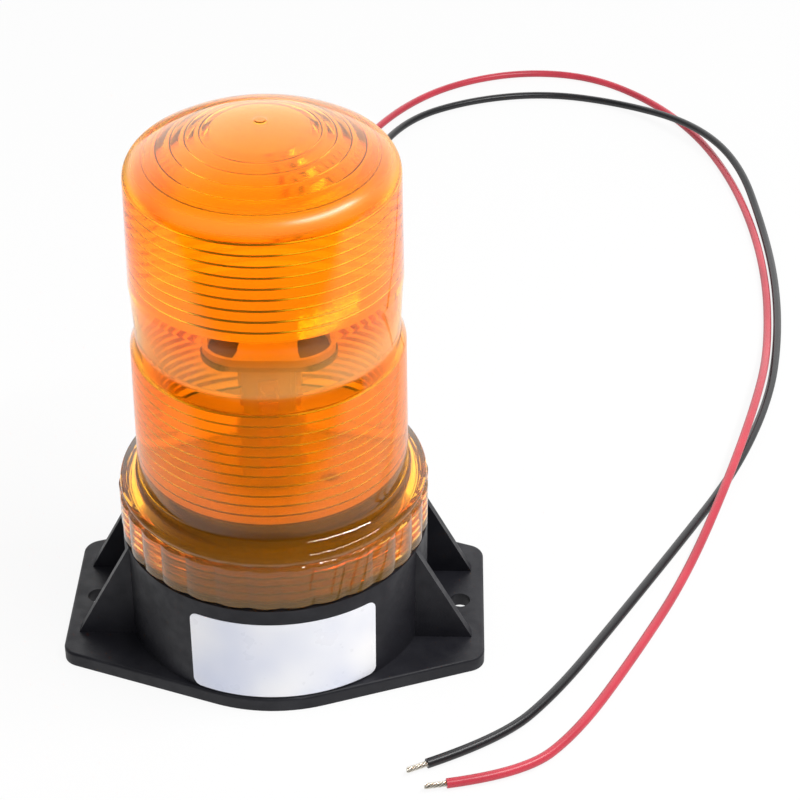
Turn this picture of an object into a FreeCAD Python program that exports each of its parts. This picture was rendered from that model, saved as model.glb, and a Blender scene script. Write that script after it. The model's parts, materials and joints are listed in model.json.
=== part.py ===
import FreeCAD, Part
import math
import os

# Amber LED strobe light for a machine or a fork-lift truck.
# A black moulded housing on a two-hole flange holds the driver electronics.
# A one-piece amber lens screws on to the housing's neck over a square LED tower.
# Two loose leads leave the back of the housing and lie on the table.
# Millimetres, +Z up, origin at the centre of the underside, label side towards -Y.

# Housing shell, whose radius drives the flange, the neck and the lens
housing_radius = 40.8
housing_wall = 3.4
housing_top = 33.3
deck_thickness = 2.4
deck_under = housing_top - deck_thickness
cover_seat_width = 1.4
cover_seat_height = 2.8
inner_radius = housing_radius - housing_wall

# Flange
flange_lip = 0.6
flange_arc_radius = housing_radius + flange_lip
mount_hole_offset = 9.2
mount_hole_x = housing_radius + mount_hole_offset
mount_hole_radius = 2.75
flange_end_margin = 6.5
flange_half_length = mount_hole_x + flange_end_margin
flange_end_half_width = 23.4
flange_corner_radius = 5.0
flange_thickness = 4.0
flange_edge_round = 0.7

# Gussets between the shell and the flange ends
gusset_thickness = 2.8
gusset_outer_y = 15.4
gusset_end_gap = 3.4
gusset_foot_x = flange_half_length - gusset_end_gap
gusset_root = 6.0

# Neck that the lens screws on to
neck_ledge = 3.9
neck_radius = housing_radius - neck_ledge
neck_wall = 2.6
neck_bore = neck_radius - neck_wall
neck_shoulder_z = 47.4
neck_shoulder_rise = 2.6
neck_chamfer = 1.0
rim_step = 4.3
rim_radius = neck_radius - rim_step
rim_wall = 2.4
rim_bore = rim_radius - rim_wall
rim_top = 55.2

# Lens: one amber moulding, kept as four nodes that meet face to face, so that each is a simple ring
lens_wall = 2.15
collar_gap = 0.5
collar_foot = housing_top + collar_gap
collar_height = 13.0
collar_top = collar_foot + collar_height
collar_thread_clearance = 1.2
collar_bore = neck_radius + collar_thread_clearance
collar_wall = 2.9
collar_radius = collar_bore + collar_wall
collar_lobes = 30
collar_lobe_depth = 0.55
collar_groove_depth = 1.0
collar_groove_height = 0.6
shoulder_inset = 0.7
shoulder_radius = collar_radius - shoulder_inset
shoulder_edge_height = 0.6
shoulder_z = collar_top + collar_groove_height + shoulder_edge_height
shoulder_width = 4.7
shoulder_height = 4.0
shoulder_rim_shares = (0.12, 0.42)
shoulder_crest_shares = (0.6, 0.72)
drum_draft = 0.5
body_base_radius = shoulder_radius - shoulder_width
body_base_z = shoulder_z + shoulder_height
lower_drum_height = 38.5
lower_top_radius = body_base_radius - drum_draft
lower_top_z = body_base_z + lower_drum_height
band_step = 1.5
band_step_height = 3.7
band_height = 14.6
band_flare = 0.8
band_bottom_radius = lower_top_radius - band_step
band_bottom_z = lower_top_z + band_step_height
band_top_radius = band_bottom_radius + band_flare
band_top_z = band_bottom_z + band_height
upper_step = 0.1
upper_step_height = 0.4
upper_drum_height = 28.4
upper_radius = band_top_radius + upper_step
upper_base_z = band_top_z + upper_step_height
upper_top_radius = upper_radius - drum_draft
upper_top_z = upper_base_z + upper_drum_height
dome_corner_radius = 6.0
dome_sphere_radius = 57.0
gate_mark_radius = 1.6
gate_mark_height = 0.35

# The dome's sphere touches the round corner, whose centre is level with the top of the upper drum
corner_x = upper_top_radius - dome_corner_radius
corner_rise = math.sqrt((dome_sphere_radius - dome_corner_radius) ** 2 - corner_x ** 2)
corner_blend = math.atan2(corner_rise, corner_x)
sphere_z = upper_top_z - corner_rise
lens_top = sphere_z + dome_sphere_radius

# Light-bending ribs on the inside of the lens
rib_depth = 0.95
rib_rise = 0.8
lower_rib_count = 11
lower_rib_margin = 4.2
lower_rib_top_margin = 1.3
lower_rib_start = body_base_z + lower_rib_margin
lower_rib_pitch = (lower_drum_height - lower_rib_margin - lower_rib_top_margin) / lower_rib_count
upper_rib_count = 9
upper_rib_margin = 1.0
upper_rib_top_margin = 0.4
upper_rib_start = upper_base_z + upper_rib_margin
upper_rib_pitch = (upper_drum_height - upper_rib_margin - upper_rib_top_margin) / upper_rib_count
corner_steps = 3
dome_ring_count = 5
dome_ring_pitch = 3.5
dome_ring_first = 12.0
dome_ring_width = 2.6
dome_ring_depth = 0.7

# Sealing ring between the lens and the housing's deck
seal_width = 1.4
seal_height = 1.4
seal_neck_clearance = 1.3
seal_inner_radius = neck_radius + seal_neck_clearance
seal_side_clearance = 0.3

# Bottom cover and its screws
cover_thickness = 2.0
cover_clearance = 0.2
cover_post_count = 4
cover_post_first_angle = 45.0
cover_post_radius = 3.0
cover_post_top = 12.0
screw_radius = 1.25
screw_head_radius = 2.3
screw_head_height = 1.2
screw_pilot_clearance = 0.1
screw_end_clearance = 0.5
cover_screw_length = 7.0
cover_low = cover_seat_height - cover_thickness
cover_screw_seat = cover_low + screw_head_height

# Driver board on three posts under the deck
board_edge_clearance = 1.2
board_radius = inner_radius - board_edge_clearance
board_thickness = 1.6
board_post_count = 3
board_post_first_angle = 30.0
board_post_radius = 3.0
board_post_bottom = 18.0
board_low = board_post_bottom - board_thickness
board_screw_length = 6.0

# Each screw post stands partly in the shell's wall
post_wall_overlap = 0.4
cover_post_ring = inner_radius - cover_post_radius + post_wall_overlap
board_post_ring = inner_radius - board_post_radius + post_wall_overlap

# Electronic components, placed by shares of the board's radius
input_capacitor_radius = 5.0
input_capacitor_height = 16.0
input_capacitor_place = (-0.39 * board_radius, 0.28 * board_radius)
output_capacitor_radius = 4.0
output_capacitor_height = 11.0
output_capacitor_place = (-0.05 * board_radius, 0.5 * board_radius)
capacitor_groove_depth = 0.35
capacitor_groove_low = 1.5
capacitor_groove_width = 1.0
inductor_outer = 7.5
inductor_bore = 3.4
inductor_height = 6.5
inductor_chamfer = 1.2
inductor_place = (0.41 * board_radius, 0.39 * board_radius)
chip_length = 6.0
chip_width = 4.9
chip_height = 1.6
chip_pitch = 11.0
chip_count = 3
chip_row_y = -12.0
jumper_radius = 0.7
jumper_x = 9.0
jumper_half_spacing = 2.2

# Round white board on top of the neck
led_plate_ledge = 1.2
led_plate_seat = rim_bore + led_plate_ledge
led_plate_radius = led_plate_seat - cover_clearance
led_plate_thickness = 1.6
led_plate_low = rim_top - led_plate_thickness
led_plate_hole = 2.5
led_plate_hole_x = 13.0

# LED tower
post_width = 11.6
post_wall = 1.8
post_height = 32.0
post_top = rim_top + post_height
led_board_width = 11.4
led_board_thickness = 1.0
led_board_lift = 1.5
led_board_height = post_height - 2 * led_board_lift
board_face = post_width / 2 + led_board_thickness
led_size = 5.0
led_thickness = 1.2
led_rim = 0.5
led_dish_depth = 0.35
led_count = 3
led_first_height = 5.5
led_pitch = (led_board_height - 2 * led_first_height) / (led_count - 1)
spreader_radius = 10.9
spreader_thickness = 2.0
spreader_half_depth = 9.6
tower_screw_radius = 1.5
tower_screw_head_radius = 2.8
tower_screw_head_height = 1.4
tower_screw_length = 8.0
cap_lobe_x = 6.2
cap_radius = 10.4
cap_thickness = 2.4
cap_low = post_top + spreader_thickness
cap_window_radius = 9.2
cap_bar_half = 7.1
cap_bar_end_half = 8.4

# Label: a blank sticker bent round the front of the housing
label_thickness = 0.2
label_glue = 0.02
label_low = 4.6
label_high = 28.9
label_middle_angle = -83.4
label_half_angle = 35.8
label_corner_radius = 2.2

# Leads
lead_radius = 1.3
lead_spacing = 4.2
lead_bore_clearance = 0.1
strand_radius = 0.8
strand_length = 6.0
strand_chamfer = 0.3
arc_share = 0.45
lift = 0.05
table = lead_radius + lift
crossing_gap = 3.0
over = table + 2 * lead_radius + crossing_gap

# Cable grommet in the back wall
grommet_z = 10.2
grommet_body_radius = 4.5
grommet_flange_radius = 5.7
grommet_flange_thickness = 1.8
grommet_clearance = 0.1
grommet_chamfer = 0.5
lead_join_gap = 0.2
lead_join_y = housing_radius + lead_join_gap
inner_lead_run = 10.0
inner_lead_corner_y = lead_join_y - inner_lead_run

# Routes of the two leads from the grommet to their stripped ends
red_route = [
    (-lead_spacing / 2, lead_join_y, grommet_z),
    (-lead_spacing / 2, 54.0, grommet_z),
    (-3.5, 72.0, 4.0),
    (-6.5, 97.0, table),
    (-8.5, 137.0, table),
    (-6.5, 180.0, table),
    (-0.5, 220.0, table),
    (9.0, 256.0, table),
    (24.0, 290.0, table),
    (45.0, 314.0, table),
    (73.0, 326.5, table),
    (101.0, 323.5, table),
    (123.0, 304.5, table),
    (139.0, 277.0, table),
    (148.5, 244.0, table),
    (153.2, 207.0, table),
    (153.6, 170.0, table),
    (150.0, 134.0, table),
    (143.5, 101.0, over),
    (130.5, 58.0, over),
    (114.0, 15.5, table),
    (97.0, -19.0, table),
    (80.5, -49.0, table),
    (66.0, -64.5, table),
    (46.5, -68.5, table),
]
black_route = [
    (lead_spacing / 2, lead_join_y, grommet_z),
    (lead_spacing / 2, 54.0, grommet_z),
    (1.6, 72.0, 4.0),
    (0.5, 97.0, table),
    (-0.5, 137.0, table),
    (2.0, 180.0, table),
    (7.5, 218.0, table),
    (16.0, 252.0, table),
    (30.0, 286.0, table),
    (55.0, 302.5, table),
    (84.0, 308.5, table),
    (112.0, 301.0, table),
    (137.0, 275.0, over),
    (151.5, 246.0, over),
    (156.6, 207.0, table),
    (156.8, 170.0, table),
    (153.2, 134.0, table),
    (146.4, 101.0, table),
    (132.0, 63.5, table),
    (111.9, 28.0, table),
    (92.7, -5.0, table),
    (75.5, -34.0, table),
    (60.5, -52.0, table),
    (41.5, -61.5, table),
]


def save(node, shape):
    """One STEP file for one piece."""
    shape.exportStep("parts/" + node + ".step")


def disc(radius, height, z, x=0.0, y=0.0):
    """Upright cylinder."""
    return Part.makeCylinder(radius, height, FreeCAD.Vector(x, y, z))


def block(width, depth, height, z, x=0.0, y=0.0):
    """Upright block centred on x and y."""
    corner = FreeCAD.Vector(x - width / 2, y - depth / 2, z)
    return Part.makeBox(width, depth, height, corner)


def turned(shape, angle):
    """Copy of a shape, turned about the Z axis."""
    copy = shape.copy()
    copy.rotate(FreeCAD.Vector(0, 0, 0), FreeCAD.Vector(0, 0, 1), angle)
    return copy


def line(start, end):
    return Part.LineSegment(FreeCAD.Vector(*start), FreeCAD.Vector(*end)).toShape()


def arc(start, middle, end):
    return Part.Arc(FreeCAD.Vector(*start), FreeCAD.Vector(*middle), FreeCAD.Vector(*end)).toShape()


def polygon_edges(points):
    """Edges of a closed outline through the points."""
    return [line(start, end) for start, end in zip(points, points[1:] + points[:1])]


def revolved(edges, angle=360.0):
    """Solid made by turning a closed outline in the XZ plane about the Z axis."""
    face = Part.Face(Part.Wire(edges))
    return face.revolve(FreeCAD.Vector(0, 0, 0), FreeCAD.Vector(0, 0, 1), angle)


def ring_profile(points):
    """Closed outline in the XZ plane from pairs of radius and height."""
    return polygon_edges([(radius, 0.0, z) for radius, z in points])


def extruded(edges, height):
    face = Part.Face(Part.Wire(edges))
    return face.extrude(FreeCAD.Vector(0, 0, height))


def oval(radius, height, z):
    """Flat piece of two round lobes side by side, joined by straight flanks."""
    lobes = [disc(radius, height, z, side * cap_lobe_x) for side in (-1, 1)]
    middle = block(2 * cap_lobe_x, 2 * radius, height, z)
    return middle.fuse(lobes).removeSplitter()


def upright_edges(shape, inside):
    """Vertical edges whose place passes the test."""
    chosen = []
    for edge in shape.Edges:
        ends = [vertex.Point for vertex in edge.Vertexes]
        if len(ends) == 2 and abs(ends[0].x - ends[1].x) < 1e-6 and abs(ends[0].y - ends[1].y) < 1e-6:
            if inside(ends[0]):
                chosen.append(edge)
    return chosen


def flange_edges():
    """Outline of the flange: two wide arcs, joined to the square ends by tangent lines."""
    reach = math.hypot(flange_half_length, flange_end_half_width)
    turn = math.acos(flange_arc_radius / reach)
    angle = math.atan2(flange_end_half_width, flange_half_length) + turn
    x = flange_arc_radius * math.cos(angle)
    y = flange_arc_radius * math.sin(angle)
    end_x = flange_half_length
    end_y = flange_end_half_width
    return [
        line((end_x, -end_y, 0), (end_x, end_y, 0)),
        line((end_x, end_y, 0), (x, y, 0)),
        arc((x, y, 0), (0, flange_arc_radius, 0), (-x, y, 0)),
        line((-x, y, 0), (-end_x, end_y, 0)),
        line((-end_x, end_y, 0), (-end_x, -end_y, 0)),
        line((-end_x, -end_y, 0), (-x, -y, 0)),
        arc((-x, -y, 0), (0, -flange_arc_radius, 0), (x, -y, 0)),
        line((x, -y, 0), (end_x, -end_y, 0)),
    ]


def flange():
    """Flange plate with rounded end corners and a softened upper edge."""
    plate = extruded(flange_edges(), flange_thickness)
    corners = upright_edges(plate, lambda point: abs(point.x) > flange_half_length - 0.01)
    plate = plate.makeFillet(flange_corner_radius, corners)
    rim = [edge for edge in plate.Edges if edge.BoundBox.ZMin > flange_thickness - 0.01]
    return plate.makeFillet(flange_edge_round, rim)


def gusset(side_x, side_y):
    """Triangular web parallel to X, from the flange end up to the top of the shell."""
    outer_y = side_y * gusset_outer_y
    inner_y = side_y * (gusset_outer_y - gusset_thickness)
    top_x = math.sqrt(housing_radius ** 2 - gusset_outer_y ** 2)
    root_x = top_x - gusset_root
    foot_z = flange_thickness / 2
    edges = polygon_edges([
        (side_x * root_x, inner_y, foot_z),
        (side_x * gusset_foot_x, inner_y, foot_z),
        (side_x * gusset_foot_x, inner_y, flange_thickness),
        (side_x * top_x, inner_y, housing_top),
        (side_x * root_x, inner_y, housing_top),
    ])
    face = Part.Face(Part.Wire(edges))
    return face.extrude(FreeCAD.Vector(0, outer_y - inner_y, 0))


def post_places(count, ring, first):
    """Centres of posts on a ring."""
    angles = [math.radians(first + 360.0 * index / count) for index in range(count)]
    return [(ring * math.cos(angle), ring * math.sin(angle)) for angle in angles]


cover_places = post_places(cover_post_count, cover_post_ring, cover_post_first_angle)
board_places = post_places(board_post_count, board_post_ring, board_post_first_angle)


def cavity():
    """Space inside the housing, from the cover's seat to the seat of the round LED board."""
    return revolved(ring_profile([
        (0, -1),
        (inner_radius + cover_seat_width, -1),
        (inner_radius + cover_seat_width, cover_seat_height),
        (inner_radius, cover_seat_height),
        (inner_radius, deck_under),
        (neck_bore, deck_under),
        (neck_bore, neck_shoulder_z - neck_wall),
        (rim_bore, neck_shoulder_z + neck_shoulder_rise - neck_wall),
        (rim_bore, led_plate_low),
        (led_plate_seat, led_plate_low),
        (led_plate_seat, rim_top + 1),
        (0, rim_top + 1),
    ]))


def neck():
    """Neck for the lens thread, with a narrower rim above its shoulder."""
    return revolved(ring_profile([
        (0, deck_under),
        (neck_radius, deck_under),
        (neck_radius, neck_shoulder_z - neck_chamfer),
        (neck_radius - neck_chamfer, neck_shoulder_z),
        (rim_radius, neck_shoulder_z + neck_shoulder_rise),
        (rim_radius, rim_top),
        (0, rim_top),
    ]))


def screw_pilot(z_low, z_high, place):
    return disc(screw_radius + screw_pilot_clearance, z_high - z_low, z_low, *place)


def base_housing():
    """Housing moulding: flange, shell, gussets, neck, screw posts and the hole for the grommet."""
    solid = flange()
    solid = solid.fuse(disc(housing_radius, housing_top, 0))
    solid = solid.fuse([gusset(x, y) for x in (-1, 1) for y in (-1, 1)])
    solid = solid.fuse(neck())
    solid = solid.cut(cavity())
    cover_post_low = cover_seat_height
    posts = [disc(cover_post_radius, cover_post_top - cover_post_low, cover_post_low, *place)
             for place in cover_places]
    posts += [disc(board_post_radius, housing_top - board_post_bottom, board_post_bottom, *place)
              for place in board_places]
    shell_limit = disc(housing_radius - housing_wall / 2, housing_top, 0)
    solid = solid.fuse([post.common(shell_limit) for post in posts])
    holes = [screw_pilot(cover_seat_height - 1, cover_seat_height + cover_screw_length, place)
             for place in cover_places]
    holes += [screw_pilot(board_post_bottom - 1, board_post_bottom + board_screw_length, place)
              for place in board_places]
    holes += [disc(mount_hole_radius, flange_thickness + 2, -1, side * mount_hole_x) for side in (-1, 1)]
    holes.append(Part.makeCylinder(
        grommet_body_radius + grommet_clearance, 2 * housing_wall,
        FreeCAD.Vector(0, inner_radius - housing_wall / 2, grommet_z), FreeCAD.Vector(0, 1, 0)))
    return solid.cut(holes).removeSplitter()


def screw(length, head_radius, head_height, shank_radius, place, seat_z, upward=True):
    """Screw with a cylindrical head below its seat and a shank above it, or the other way up."""
    step = 1 if upward else -1
    axis = FreeCAD.Vector(0, 0, step)
    seat = FreeCAD.Vector(place[0], place[1], seat_z)
    head = Part.makeCylinder(head_radius, head_height, seat, -axis)
    shank = Part.makeCylinder(shank_radius, length, seat, axis)
    return head.fuse(shank).removeSplitter()


def bottom_cover():
    """Cover plate, let into the underside, with counterbored screw holes."""
    plate = disc(inner_radius + cover_seat_width - cover_clearance, cover_thickness, cover_low)
    holes = [disc(screw_head_radius + cover_clearance, screw_head_height, cover_low, *place)
             for place in cover_places]
    holes += [disc(screw_radius + cover_clearance, cover_thickness, cover_low, *place)
              for place in cover_places]
    return plate.cut(holes)


def cover_screws():
    length = cover_screw_length + cover_seat_height - cover_screw_seat - screw_end_clearance
    return Part.makeCompound([
        screw(length, screw_head_radius, screw_head_height, screw_radius, place, cover_screw_seat)
        for place in cover_places])


def driver_board():
    """Round circuit board, screwed up against the three posts."""
    plate = disc(board_radius, board_thickness, board_low)
    holes = [disc(screw_radius + cover_clearance, board_thickness, board_low, *place)
             for place in board_places]
    return plate.cut(holes)


def board_screws():
    length = board_screw_length + board_thickness - screw_end_clearance
    return Part.makeCompound([
        screw(length, screw_head_radius, screw_head_height, screw_radius, place, board_low)
        for place in board_places])


def capacitor(radius, height, place):
    """Electrolytic capacitor: a can with a rolled groove near its foot."""
    groove_low = board_post_bottom + capacitor_groove_low
    can = revolved(ring_profile([
        (0, board_post_bottom),
        (radius, board_post_bottom),
        (radius, groove_low),
        (radius - capacitor_groove_depth, groove_low + capacitor_groove_width / 2),
        (radius, groove_low + capacitor_groove_width),
        (radius, board_post_bottom + height),
        (0, board_post_bottom + height),
    ]))
    can.translate(FreeCAD.Vector(place[0], place[1], 0))
    return can


def inductor():
    """Ring-shaped choke lying on the board."""
    ring = disc(inductor_outer, inductor_height, board_post_bottom, *inductor_place)
    ring = ring.cut(disc(inductor_bore, inductor_height, board_post_bottom, *inductor_place))
    return ring.makeChamfer(inductor_chamfer, [edge for edge in ring.Edges if len(edge.Vertexes) == 1])


def driver_chips():
    first = -chip_pitch * (chip_count - 1) / 2
    return Part.makeCompound([
        block(chip_length, chip_width, chip_height, board_post_bottom,
              first + index * chip_pitch, chip_row_y)
        for index in range(chip_count)])


def led_plate():
    """Round white board that closes the neck and carries the tower."""
    plate = disc(led_plate_radius, led_plate_thickness, led_plate_low)
    return plate.cut(disc(led_plate_hole, led_plate_thickness, led_plate_low, led_plate_hole_x))


def led_post():
    """Square tube on the round board, with a floor and a threaded head for the tower's screw."""
    outer = block(post_width, post_width, post_height, rim_top)
    hollow = block(post_width - 2 * post_wall, post_width - 2 * post_wall,
                   post_height - 2 * tower_screw_length, rim_top + post_wall)
    thread_radius = tower_screw_radius + screw_pilot_clearance
    thread = disc(thread_radius, tower_screw_length, post_top - tower_screw_length)
    return outer.cut([hollow, thread])


def led_board():
    """Circuit board on the front face of the post."""
    depth_middle = -(post_width + led_board_thickness) / 2
    return block(led_board_width, led_board_thickness, led_board_height,
                 rim_top + led_board_lift, 0, depth_middle)


def led_package(index):
    """One LED: a square package with a shallow dish in its face."""
    z = rim_top + led_board_lift + led_first_height + index * led_pitch - led_size / 2
    package = block(led_size, led_thickness, led_size, z, 0, -board_face - led_thickness / 2)
    dish_radius = led_size / 2 - led_rim
    dish_start = FreeCAD.Vector(0, -board_face - led_thickness, z + led_size / 2)
    dish = Part.makeCone(dish_radius, dish_radius - led_dish_depth, led_dish_depth, dish_start,
                         FreeCAD.Vector(0, 1, 0))
    return package.cut(dish)


def led_row():
    return Part.makeCompound([led_package(index) for index in range(led_count)])


def heat_spreader():
    """Dark metal plate on top of the post, seen through the windows of the cap."""
    plate = oval(spreader_radius, spreader_thickness, post_top)
    plate = plate.common(block(4 * spreader_radius, 2 * spreader_half_depth, spreader_thickness, post_top))
    return plate.cut(disc(tower_screw_radius + cover_clearance, spreader_thickness, post_top))


def cap_window(side):
    """D-shaped window between the rim and the bar, which widens towards its ends."""
    end_y = math.sqrt(cap_window_radius ** 2 - (cap_bar_end_half - cap_lobe_x) ** 2)
    front = (side * cap_bar_end_half, -end_y, cap_low)
    back = (side * cap_bar_end_half, end_y, cap_low)
    edges = [
        arc(front, (side * (cap_lobe_x + cap_window_radius), 0, cap_low), back),
        arc(back, (side * cap_bar_half, 0, cap_low), front),
    ]
    return extruded(edges, cap_thickness)


def tower_cap():
    """White oval cover with a bar across it, hollowed underneath for the head of the tower's screw."""
    plate = oval(cap_radius, cap_thickness, cap_low)
    pocket_radius = tower_screw_head_radius + cover_clearance
    pocket = disc(pocket_radius, tower_screw_head_height + cover_clearance, cap_low)
    return plate.cut([cap_window(-1), cap_window(1), pocket])


def tower_screw():
    """Screw that holds the spreader on the post, its head hidden under the cap."""
    length = tower_screw_length + spreader_thickness - screw_end_clearance
    return screw(length, tower_screw_head_radius, tower_screw_head_height, tower_screw_radius, (0, 0),
                 cap_low, upward=False)


def rating_label():
    """Blank sticker on the front of the shell."""
    low_radius = housing_radius + label_glue
    high_radius = low_radius + label_thickness
    band = revolved(ring_profile([
        (low_radius, label_low),
        (high_radius, label_low),
        (high_radius, label_high),
        (low_radius, label_high),
    ]), 2 * label_half_angle)
    band = turned(band, label_middle_angle - label_half_angle)
    corners = [edge for edge in band.Edges if abs(edge.Length - label_thickness) < 0.01]
    return band.makeFillet(label_corner_radius, corners)


def cable_grommet():
    """Rubber grommet, snapped into the back wall, with one bore for each lead."""
    outer_face = housing_radius + lift
    inner_face = math.sqrt(inner_radius ** 2 - grommet_flange_radius ** 2) - lift
    back = FreeCAD.Vector(0, 1, 0)

    def barrel(radius, start_y, length):
        return Part.makeCylinder(radius, length, FreeCAD.Vector(0, start_y, grommet_z), back)

    inner_start = inner_face - grommet_flange_thickness
    body = barrel(grommet_body_radius, inner_start, outer_face + grommet_flange_thickness - inner_start)
    rubber = body.fuse([
        barrel(grommet_flange_radius, inner_start, grommet_flange_thickness),
        barrel(grommet_flange_radius, outer_face, grommet_flange_thickness),
    ])
    outer_rim = [edge for edge in rubber.Edges
                 if edge.BoundBox.YMin > outer_face + grommet_flange_thickness - 0.01]
    rubber = rubber.makeChamfer(grommet_chamfer, outer_rim)
    bores = [Part.makeCylinder(lead_radius + lead_bore_clearance, 3 * housing_wall,
                               FreeCAD.Vector(side * lead_spacing / 2, inner_start - 1, grommet_z), back)
             for side in (-1, 1)]
    return rubber.cut(bores)


def rib_points(start, count, pitch, low_radius, high_radius):
    """Inner profile of a ribbed wall: each rib leans inwards as it rises, then steps back."""
    points = []
    for index in range(count):
        for share, depth in ((0.0, 0.0), (rib_rise, rib_depth)):
            done = (index + share) / count
            points.append((low_radius + (high_radius - low_radius) * done - depth,
                           start + pitch * (index + share)))
    return points


def collar_trim():
    """What is cut from a plain collar to leave its ring of shallow grip lobes."""
    pitch = 2 * math.pi / collar_lobes
    valley = collar_radius - collar_lobe_depth

    def at(radius, angle):
        return (radius * math.cos(angle), radius * math.sin(angle), collar_foot)

    lobes = [arc(at(valley, index * pitch), at(collar_radius, (index + 0.5) * pitch),
                 at(valley, (index + 1) * pitch)) for index in range(collar_lobes)]
    inside = extruded(lobes, collar_height)
    outside = disc(collar_radius + 2, collar_height, collar_foot)
    return outside.cut(inside)


def shoulder_point(inward, upward):
    """Point of the shoulder's round edge, as shares of its width and height."""
    return (shoulder_radius - inward * shoulder_width, shoulder_z + upward * shoulder_height)


def lens_collar():
    """Grip collar with a groove above it and the shoulder that closes in to the drum."""
    groove_radius = collar_radius - collar_groove_depth
    groove_top = collar_top + collar_groove_height
    seat_radius = seal_inner_radius + seal_width + seal_side_clearance
    seat_top = housing_top + seal_height
    slope_low = shoulder_z - shoulder_edge_height - lens_wall / 3
    shape = revolved(ring_profile([
        (seat_radius, collar_foot),
        (collar_radius, collar_foot),
        (collar_radius, collar_top),
        (groove_radius, collar_top),
        (groove_radius, groove_top),
        (shoulder_radius, groove_top),
        (shoulder_radius, shoulder_z),
        shoulder_point(*shoulder_rim_shares),
        shoulder_point(*shoulder_crest_shares),
        (body_base_radius, body_base_z),
        (body_base_radius - lens_wall, body_base_z),
        (body_base_radius - lens_wall, slope_low + shoulder_height),
        (collar_bore, slope_low),
        (collar_bore, seat_top),
        (seat_radius, seat_top),
    ]))
    return shape.cut(collar_trim())


def lens_lower_drum():
    """Lower drum, ribbed inside, up to the slope below the plain band."""
    base = body_base_radius - lens_wall
    top = lower_top_radius - lens_wall
    return revolved(ring_profile([
        (body_base_radius, body_base_z),
        (lower_top_radius, lower_top_z),
        (top, lower_top_z),
        *reversed(rib_points(lower_rib_start, lower_rib_count, lower_rib_pitch, base, top)),
        (base, body_base_z),
    ]))


def lens_upper_drum():
    """Slope, plain band and upper drum, ribbed inside, up to where the dome's corner starts."""
    middle = upper_radius - lens_wall
    top = upper_top_radius - lens_wall
    return revolved(ring_profile([
        (lower_top_radius - lens_wall, lower_top_z),
        (lower_top_radius, lower_top_z),
        (band_bottom_radius, band_bottom_z),
        (band_top_radius, band_top_z),
        (upper_radius, upper_base_z),
        (upper_top_radius, upper_top_z),
        (top, upper_top_z),
        *reversed(rib_points(upper_rib_start, upper_rib_count, upper_rib_pitch, middle, top)),
        (middle, band_top_z),
        (band_top_radius - lens_wall, band_top_z - lens_wall / 2),
        (band_bottom_radius - lens_wall, band_bottom_z),
    ]))


def dome_inside():
    """Inner profile of the dome from its corner to the axis, with a step for each light-bending ring."""
    corner_radius = dome_corner_radius - lens_wall
    sphere_radius = dome_sphere_radius - lens_wall
    angles = [corner_blend * step / corner_steps for step in range(corner_steps + 1)]
    points = [(corner_x + corner_radius * math.cos(angle), upper_top_z + corner_radius * math.sin(angle))
              for angle in angles]
    for index in reversed(range(dome_ring_count)):
        inner = dome_ring_first + dome_ring_pitch * index
        for across, depth in ((inner + dome_ring_width, 0.0), (inner, dome_ring_depth), (inner, 0.0)):
            points.append((across, sphere_z + math.sqrt(sphere_radius ** 2 - across ** 2) - depth))
    halfway = dome_ring_first / 2
    points.append((halfway, sphere_z + math.sqrt(sphere_radius ** 2 - halfway ** 2)))
    points.append((0, sphere_z + sphere_radius))
    return points


def lens_dome():
    """Dome with its round corner and, on top, the mark where the plastic was let in."""
    blend = corner_blend

    def on_corner(angle):
        return (corner_x + dome_corner_radius * math.cos(angle), 0,
                upper_top_z + dome_corner_radius * math.sin(angle))

    def on_sphere(angle):
        return (dome_sphere_radius * math.cos(angle), 0, sphere_z + dome_sphere_radius * math.sin(angle))

    outside = [
        arc(on_corner(0), on_corner(blend / 2), on_corner(blend)),
        arc(on_sphere(blend), on_sphere((blend + math.pi / 2) / 2), (0, 0, lens_top)),
    ]
    inside = [(across, 0, height) for across, height in dome_inside()]
    corners = [(0, 0, lens_top)] + inside[::-1] + [on_corner(0)]
    shape = revolved(outside + [line(start, end) for start, end in zip(corners, corners[1:])])
    gate = disc(gate_mark_radius, gate_mark_height + lens_wall / 2, lens_top - lens_wall / 2)
    return shape.fuse(gate).removeSplitter()


def lens_seal():
    """Rubber ring that sits in the foot of the collar and on the housing's deck."""
    ring = disc(seal_inner_radius + seal_width, seal_height, housing_top)
    return ring.cut(disc(seal_inner_radius, seal_height, housing_top))


def cord_path(points):
    """Straight runs joined by tangent arcs, each as large as its two runs allow."""
    corners = [FreeCAD.Vector(*point) for point in points]
    edges = []
    radii = []
    at = corners[0]
    for before, corner, after in zip(corners, corners[1:], corners[2:]):
        run_in = corner - before
        run_out = after - corner
        half_turn = run_in.getAngle(run_out) / 2
        reach = arc_share * min(run_in.Length, run_out.Length)
        radius = reach / math.tan(half_turn)
        start = corner - run_in.normalize() * reach
        end = corner + run_out.normalize() * reach
        inward = ((start + end) * 0.5 - corner).normalize()
        middle = corner + inward * (radius / math.cos(half_turn) - radius)
        edges.append(Part.LineSegment(at, start).toShape())
        edges.append(Part.Arc(start, middle, end).toShape())
        radii.append(radius)
        at = end
    edges.append(Part.LineSegment(at, corners[-1]).toShape())
    return Part.Wire(edges), radii


def cord(points, radius, name):
    """Round cord along a route, with its length, volume share and radii printed."""
    path, radii = cord_path(points)
    start = FreeCAD.Vector(*points[0])
    ahead = FreeCAD.Vector(*points[1]) - start
    section = Part.Wire(Part.Circle(start, ahead, radius).toShape())
    solid = path.makePipeShell([section], True, True)
    share = solid.Volume / (math.pi * radius ** 2 * path.Length)
    print(name, "length", round(path.Length, 1), "volume share", round(share, 4),
          "valid", solid.isValid(), "radii", [round(value) for value in radii])
    return solid


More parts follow.
